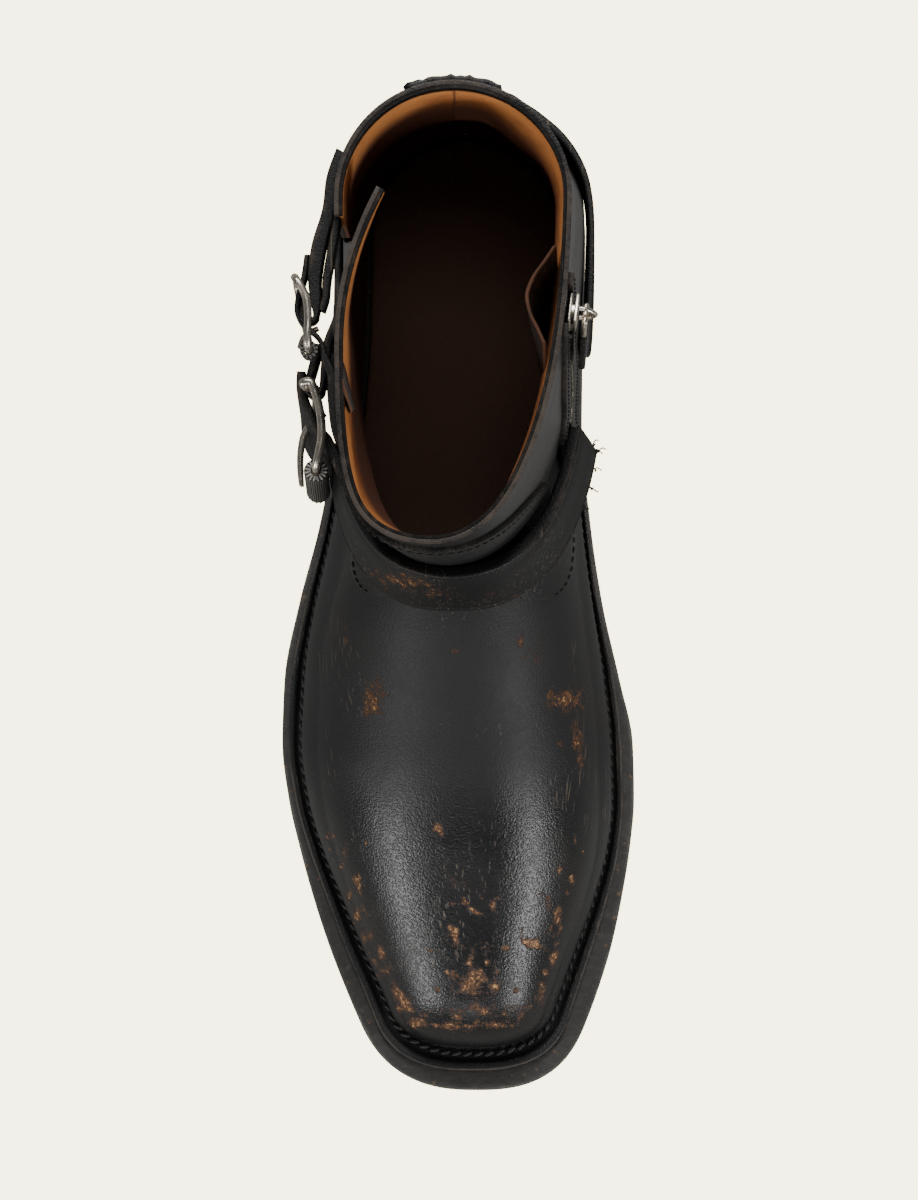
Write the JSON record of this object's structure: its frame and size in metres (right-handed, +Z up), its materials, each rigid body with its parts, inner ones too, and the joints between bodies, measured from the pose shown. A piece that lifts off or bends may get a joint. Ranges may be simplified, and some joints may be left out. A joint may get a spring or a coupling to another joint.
{
  "type": "engineer boot",
  "caption": "Short black pull-up leather boot with a square toe, a strap and roller buckle over the instep, a buckled strap at the collar, an inside zip and a stacked heel",
  "frame": {"origin": "middle of the heel's tread, on the floor", "axes": "+Y points back from the toe to the heel, +X to the inner (medial) side of the foot, +Z up"},
  "size_m": [0.1127, 0.3115, 0.188],
  "materials": {
    "black_leather": "waxed, worn to brown at the edges",
    "sole_leather": "dressed edge",
    "tan_leather": "undyed lining",
    "heel_rubber": "matte",
    "aged_steel": "aged"
  },
  "bodies": {
    "boot": {"upper": "black_leather", "welt": "black_leather", "insole": "tan_leather", "midsole": "sole_leather", "outsole": "sole_leather", "heel_stack": "sole_leather", "top_lift": "heel_rubber", "vamp_tab": "black_leather", "backstay": "black_leather", "side_tab_lateral": "black_leather", "side_tab_medial": "black_leather", "instep_strap": "black_leather", "heel_strap": "black_leather", "buckle_frame": "aged_steel", "buckle_roller": "aged_steel", "buckle_prong": "aged_steel", "collar_strap": "black_leather", "collar_billet": "black_leather", "collar_buckle_frame": "aged_steel", "collar_buckle_roller": "aged_steel", "collar_buckle_prong": "aged_steel", "zip_chain": "aged_steel", "zip_facing_front": "black_leather", "zip_facing_back": "black_leather", "zip_slider": "aged_steel", "zip_bail": "aged_steel", "zip_guard": "tan_leather"},
    "zip_pull": {"zip_pull": "aged_steel", "zip_pull_tab": "black_leather"}
  },
  "joints": [
    {"name": "zip_pull_hinge", "type": "hinge", "parent": "boot", "child": "zip_pull", "pos_m": [0.03399, -0.03258, 0.17768], "axis": [-0.1083, -0.9285, 0.3552], "range_deg": [0, 150]}
  ]
}
